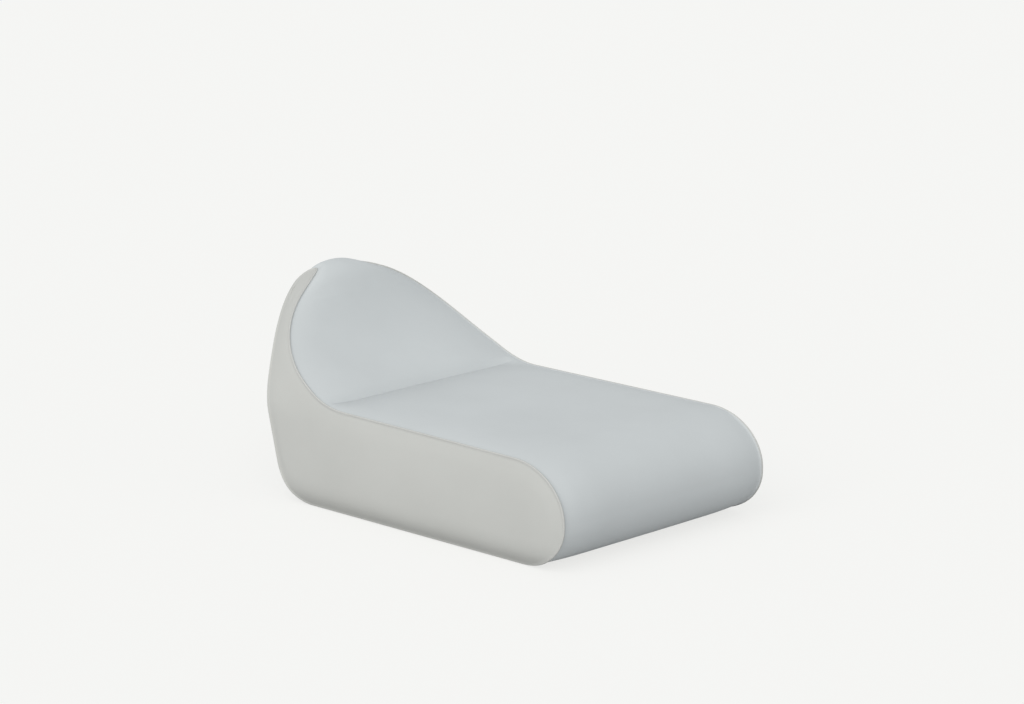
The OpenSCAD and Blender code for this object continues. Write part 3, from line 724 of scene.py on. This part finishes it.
seat = band_panel("cover_seat", K_CREASE, K_FRONT, NONE, PLAIN, 0.0, 0.8, BAND_MAT,
                  ["seat_panel"])
back = band_panel("cover_backrest", K_REAR, K_CREASE, PLAIN, NONE, 0.8, 0.0, BAND_MAT,
                  ["backrest_panel"])
rear = band_panel("cover_rear", K_ZIP, K_REAR, ZIP_CUT, PLAIN, 1.2, 0.8, BAND_MAT,
                  ["rear_panel"])
base = band_panel("cover_base", K_FLOOR, K_ZIP, PLAIN, ZIP_CUT, 0.8, 1.2, BASE_MAT,
                  ["base_panel"])


def side_panel(name, side, swell, nodes):
    """A side of the cover, from the rows of the right side; side is -1 for the left one."""
    dip = EDGE_DIP * quarter(RING_D, EDGE_REACH)
    top = SIDE + SIDE_N * (swell - dip[:, None])[:, :, None]
    top = top + unit(SEAM - SIDE[0]) * (EDGE_OVER * quarter(RING_D, OVER_REACH))[:, None, None]
    under = SIDE - SIDE_N * COVER_T
    for face in (top, under):
        face[-1] = (face[-1] + face[-1][PAIR]) / 2
    points = np.concatenate([top.reshape(-1, 3), under.reshape(-1, 3)]) * [side, 1, 1]
    lower = len(SIDE) * K
    faces = []
    for k in range(K):
        k1 = (k + 1) % K
        for i in range(len(SIDE) - 1):
            a, b, c, d = i * K + k, (i + 1) * K + k, (i + 1) * K + k1, i * K + k1
            faces += [(a, b, c, d), (lower + a, lower + d, lower + c, lower + b)]
        faces.append((k, k1, lower + k1, lower + k))
    edge = np.concatenate([np.repeat(RING_D, K)] * 2)
    return make(name, points, faces, points[:, 1:3], edge, SIDE_MAT, nodes)


side_left = side_panel("cover_side_left", -1, swell_left, ["side_panel_left"])
side_right = side_panel("cover_side_right", 1, swell_right, ["side_panel_right"])


def tube_faces(joined, n, sides):
    """Faces round a cord of n rings of points, of which so many are joined to the next ring."""
    return [(i * sides + q, (i + 1) % n * sides + q, (i + 1) % n * sides + (q + 1) % sides,
             i * sides + (q + 1) % sides) for i in range(joined) for q in range(sides)]


FOLD_PITCH, FOLD_DEPTH = 17.0, 0.03


def tube(name, centre, direction, radius, sides, material, nodes):
    """A closed cord along centre, with the soft diagonal folds of bias-cut cloth."""
    n = len(centre)
    ref = unit(np.cross(direction, [1.0, 0, 0]))
    other = unit(np.cross(direction, ref))
    s = np.concatenate([[0], np.cumsum(np.linalg.norm(np.diff(centre, axis=0), axis=1))])
    j = np.arange(sides) * 2 * math.pi / sides
    wave = 1 + FOLD_DEPTH * np.sin(2 * math.pi * s[:, None] / FOLD_PITCH + j[None, :])
    ring = (ref[:, None] * np.cos(j)[None, :, None] + other[:, None] * np.sin(j)[None, :, None])
    pts = centre[:, None] + radius * wave[:, :, None] * ring
    uv = np.stack([np.repeat(s, sides), np.tile(j * radius, n)], 1)
    return make(name, pts.reshape(-1, 3), tube_faces(n, n, sides), uv, None, material, nodes)


CORD_STEP = 4.0
for name, side in (("left", -1), ("right", 1)):
    p = seam_at(round_the_loop(dense, np.arange(0, LENGTH - 1, CORD_STEP))) * [side, 1, 1]
    d = unit(np.roll(p, -1, 0) - np.roll(p, 1, 0))
    tube(f"piping_cord_{name}", p, d, PIPING_R, 12, PIPE_MAT, [f"piping_{name}"])


# ---- the foams, that fill the cover ----
def inside_of_cover():
    """The inner face of the cover as one closed form, with the outward direction and the place round the
    profile of each of its faces."""
    rows, out = [np.concatenate([side[::-1] * flip, band, side])[:, ::THIN]
                 for side, band in ((SIDE, BAND), (SIDE_N, BAND_N))]
    pts = rows - out * COVER_T
    m, n = pts.shape[:2]
    faces = bag_faces(m, n)
    corner = np.array([f[0] for f in faces])
    tree = BVHTree.FromPolygons(pts.reshape(-1, 3).tolist(), faces)
    return tree, out.reshape(-1, 3)[corner], corner % n * THIN


INNER, INNER_OUT, INNER_K = inside_of_cover()
# The room that is left inside the cover, and more of it over the fastening tape and the zip
FOAM_ROOM, TAPE_ROOM, ZIP_ROOM = 0.8, 5.0, 9.0
TAPE_SPAN, ZIP_SPAN, ZIP_HALF_L = 26, 24, 326


def drawn_points(me):
    """The points of a mesh, in millimetres of the drawing."""
    co = np.zeros(len(me.vertices) * 3)
    me.vertices.foreach_get("co", co)
    return co.reshape(-1, 3) / MM - [0, SHIFT_Y, 0]


def foam_piece(name, node_name, material, voxel=0.013):
    """The foam of a CAD node, remeshed, softened along its cut edges and fitted to the inside of the cover."""
    start = bpy.data.objects.new("start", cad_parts[node_name].data.copy())
    scene.collection.objects.link(start)
    remesh = start.modifiers.new("even", "REMESH")
    remesh.mode, remesh.voxel_size = "VOXEL", voxel
    ease = start.modifiers.new("ease", "SMOOTH")
    ease.factor, ease.iterations = 0.5, 3
    me = bpy.data.meshes.new_from_object(start.evaluated_get(bpy.context.evaluated_depsgraph_get()))
    bpy.data.objects.remove(start)
    me.name = name
    co = drawn_points(me)
    for i, c in enumerate(co):
        near, _, face, _ = INNER.find_nearest(c)
        k, out = INNER_K[face], INNER_OUT[face]
        room = FOAM_ROOM
        if off_crease[k] < TAPE_SPAN:
            room = TAPE_ROOM
        if abs(S[k] - S[K_ZIP]) < ZIP_SPAN and abs(c[0]) < ZIP_HALF_L:
            room = ZIP_ROOM
        if float((c - np.array(near)) @ out) > -room:
            co[i] = np.array(near) - out * room
    me.vertices.foreach_set("co", ((co + [0, SHIFT_Y, 0]) * MM).ravel())
    me.materials.clear()
    me.materials.append(material)
    me.polygons.foreach_set("use_smooth", np.ones(len(me.polygons), bool))
    me.update()
    ob = bpy.data.objects.new(name, me)
    scene.collection.objects.link(ob)
    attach(ob, "lounger")
    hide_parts(node_name)


for place in ("base", "back_wedge"):
    foam_piece(f"foam_{place}", f"{place}_foam", FIRM_FOAM)
for place in ("seat", "back"):
    foam_piece(f"foam_{place}", f"{place}_foam", SOFT_FOAM)
for place in ("left", "right"):
    foam_piece(f"foam_side_{place}", f"side_foam_{place}", SOFT_FOAM)


# ---- the fastening tape under the crease ----
def slab(name, upper, lower, uv, material, nodes):
    """A strip of cloth between two grids of points."""
    points = np.concatenate([upper.reshape(-1, 3), lower.reshape(-1, 3)])
    faces = sheet_faces(*upper.shape[:2])
    make(name, points, faces, np.concatenate([uv.reshape(-1, 2)] * 2), None, material, nodes)


STRIP_HALF_L, STRIP_HALF_W = 398, 19.5


def crease_strip(name, depth, nodes):
    """A fastening strip that follows the crease at a depth under the band."""
    across = np.linspace(-STRIP_HALF_L, STRIP_HALF_L, 81)
    along = np.linspace(-STRIP_HALF_W, STRIP_HALF_W, 13)
    columns = []
    for d in along:
        p, o = at_k(BAND, k_of(K_CREASE, d)), at_k(BAND_N, k_of(K_CREASE, d))
        columns.append([np.stack([np.interp(across, p[:, 0], g[:, j]) for j in range(3)], 1) for g in (p, o)])
    p = np.array([c[0] for c in columns]).transpose(1, 0, 2)
    o = unit(np.array([c[1] for c in columns]).transpose(1, 0, 2))
    uv = np.stack(np.meshgrid(across, along, indexing="ij"), 2)
    slab(name, p - o * depth, p - o * (depth + TAPE_T), uv, TAPE_MAT, nodes)


crease_strip("tape_loop", COVER_T + SEAT_GAP, ["crease_loop_tape"])
crease_strip("tape_hook", COVER_T + 2 * SEAT_GAP + TAPE_T, ["crease_hook_tape"])


# ---- the zip ----
def bar_of(node_name):
    """A straight CAD bar along X: its middle, half length, and its two edges across, the long one first."""
    co = drawn_points(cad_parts[node_name].data)
    mid = (co.min(0) + co.max(0)) / 2
    flat = np.unique(np.round(co[:, 1:] - mid[1:], 3), axis=0)
    flat = flat[np.argsort(np.arctan2(flat[:, 1], flat[:, 0]))]
    edges = [flat[1] - flat[0], flat[2] - flat[1]]
    edges.sort(key=np.linalg.norm, reverse=True)
    return mid, (co[:, 0].max() - co[:, 0].min()) / 2, np.insert(edges[0], 0, 0), np.insert(edges[1], 0, 0)


def zip_tape(name, node_name):
    """Half of the zip's cloth, with a bead along each edge and a slight wave."""
    mid, half, wide, thick = bar_of(node_name)
    x = np.linspace(-half, half, 121)
    u = np.array([0, 0.03, 0.07, 0.14, 0.3, 0.5, 0.7, 0.86, 0.93, 0.97, 1]) - 0.5
    bead = 0.32 + 0.16 * np.exp(-((np.abs(u) - 0.46) / 0.035) ** 2)
    wave = 0.06 * np.sin(x / 31.0)[:, None]
    ends = np.minimum(bead, 0.5 - np.abs(wave))
    flat = mid + x[:, None, None] * np.array([1, 0, 0]) + u[None, :, None] * wide
    uv = np.stack(np.meshgrid(x, u * np.linalg.norm(wide), indexing="ij"), 2)
    slab(name, flat + (wave + ends)[..., None] * thick, flat + (wave - ends)[..., None] * thick, uv,
         ZIP_TAPE_MAT, [node_name])


def zip_coil(name, node_name):
    """One half of the zip: a flattened coil of wire along the place of the CAD bar."""
    mid, half, wide, thick = bar_of(node_name)
    pitch, wire, sides = 1.9, 0.38, 5
    t = np.arange(0, (2 * half - 2 * wire) / pitch, 1 / 10)
    a = 2 * math.pi * t
    reach = 0.5 - wire / np.linalg.norm(wide)
    e = mid + np.stack([-half + wire + pitch * t, 0 * t, 0 * t], 1)
    for turn, axis in ((np.cos(a), wide), (np.sin(a), thick)):
        e = e + np.sign(turn)[:, None] * (np.abs(turn) ** 0.7)[:, None] * reach * axis
    run = unit(np.gradient(e, axis=0))
    r1 = unit(np.cross(run, [1.0, 0, 0]))
    r2 = unit(np.cross(run, r1))
    j = np.arange(sides) * 2 * math.pi / sides
    pts = e[:, None] + wire * (r1[:, None] * np.cos(j)[None, :, None] + r2[:, None] * np.sin(j)[None, :, None])
    n = len(e)
    faces = tube_faces(n - 1, n, sides)
    faces += [tuple(range(sides)), tuple((n - 1) * sides + q for q in range(sides))]
    uv = np.stack([np.repeat(t * pitch, sides), np.tile(j, n)], 1)
    make(name, pts.reshape(-1, 3), faces, uv, None, COIL_MAT, [node_name], 0)


zip_tape("zip_tape_top", "zip_tape_upper")
zip_tape("zip_tape_bottom", "zip_tape_lower")
zip_coil("zip_turns_top", "zip_coil_upper")
zip_coil("zip_turns_bottom", "zip_coil_lower")
for name in ("zip_stop_left", "zip_stop_right", "zip_slider", "zip_puller"):
    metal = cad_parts[name]
    metal.data.materials.clear()
    metal.data.materials.append(ZIP_METAL)

# ---- camera, floor and light ----
# As fitted to the photograph: azimuth and elevation, focal length in pixels, distance in metres, and the
# pixel where the target falls
AZ, EL = math.radians(-46.497), math.radians(13.107)
F_PX, DIST = 3497.912, 11.426405
PX, PY = 495.147, 423.191
WIDE_PX, HIGH_PX, SENSOR = 1024, 704, 36
TARGET = Vector((0, -0.325 + SHIFT_Y * MM, 0.268))
right = Vector((math.cos(AZ), math.sin(AZ), 0))
back_dir = Vector((math.sin(AZ) * math.cos(EL), -math.cos(AZ) * math.cos(EL), math.sin(EL)))
up = back_dir.cross(right)
cam = bpy.data.objects.new("camera", bpy.data.cameras.new("camera"))
scene.collection.objects.link(cam)
cam.data.sensor_width = SENSOR
cam.data.lens = F_PX / WIDE_PX * SENSOR
cam.data.clip_start, cam.data.clip_end = 0.1, 200
ox, oy = (PX - WIDE_PX / 2) * DIST / F_PX, -(PY - HIGH_PX / 2) * DIST / F_PX
cam.location = TARGET - right * ox - up * oy + back_dir * DIST
cam.rotation_euler = Matrix((right, up, back_dir)).transposed().to_euler()
scene.camera = cam

BACKDROP = (0.922, 0.922, 0.905, 1)
FLOOR_HALF = 60
floor_mesh = bpy.data.meshes.new("floor")
floor_mesh.from_pydata([(x * FLOOR_HALF, y * FLOOR_HALF, 0) for x, y in ((-1, -1), (1, -1), (1, 1), (-1, 1))],
                       [], [(0, 1, 2, 3)])
floor = bpy.data.objects.new("floor", floor_mesh)
floor.location.z = -0.0003
scene.collection.objects.link(floor)


def seen(t):
    """1 where the camera, a reflection or a transmission sees the surface, 0 for the light that it bounces."""
    path = node(t, "ShaderNodeLightPath")
    both = math_node(t, "MAXIMUM", path.outputs["Is Camera Ray"], path.outputs["Is Glossy Ray"])
    return math_node(t, "MAXIMUM", both, path.outputs["Is Transmission Ray"])


def shader(t, kind, colour, strength=None):
    n = node(t, kind)
    n.inputs["Color"].default_value = colour
    if strength is not None:
        n.inputs["Strength"].default_value = strength
    return n.outputs[0]


def blended(t, factor, first, second):
    """The first shader where the factor is 0, the second where it is 1."""
    n = node(t, "ShaderNodeMixShader")
    if isinstance(factor, float):
        n.inputs["Fac"].default_value = factor
    else:
        t.links.new(factor, n.inputs["Fac"])
    t.links.new(first, n.inputs[1])
    t.links.new(second, n.inputs[2])
    return n.outputs[0]


# The camera sees a pale floor that takes a soft shadow and runs into the backdrop. The light that it
# bounces onto the lounger is that of a darker grey floor.
fm = bpy.data.materials.new("floor")
fm.use_nodes = True
ft = fm.node_tree
ft.nodes.clear()
pale = shader(ft, "ShaderNodeBsdfDiffuse", (0.95, 0.95, 0.935, 1))
shown = blended(ft, 0.82, pale, shader(ft, "ShaderNodeEmission", BACKDROP, 1.0))
grey = shader(ft, "ShaderNodeBsdfDiffuse", (0.58, 0.58, 0.58, 1))
out = node(ft, "ShaderNodeOutputMaterial")
ft.links.new(blended(ft, seen(ft), grey, shown), out.inputs["Surface"])
floor_mesh.materials.append(fm)

world = bpy.data.worlds.new("studio")
scene.world = world
world.use_nodes = True
wt = world.node_tree
sky = wt.nodes["Background"]
sky.inputs["Color"].default_value = (0.95, 0.975, 1.0, 1)
sky.inputs["Strength"].default_value = 0.60
wall = shader(wt, "ShaderNodeBackground", BACKDROP, 1.0)
wt.links.new(blended(wt, seen(wt), sky.outputs[0], wall), wt.nodes["World Output"].inputs["Surface"])


def sun(name, direction, strength, angle, colour):
    """A soft sun that shines from the direction."""
    light = bpy.data.lights.new(name, "SUN")
    light.energy, light.angle, light.color = strength, math.radians(angle), colour
    ob = bpy.data.objects.new(name, light)
    ob.rotation_euler = Vector(direction).to_track_quat("Z", "Y").to_euler()
    scene.collection.objects.link(ob)


sun("key", (-0.76, -0.295, 0.555), 2.0, 75, (1.0, 0.99, 0.965))

scene.view_settings.view_transform = "Standard"
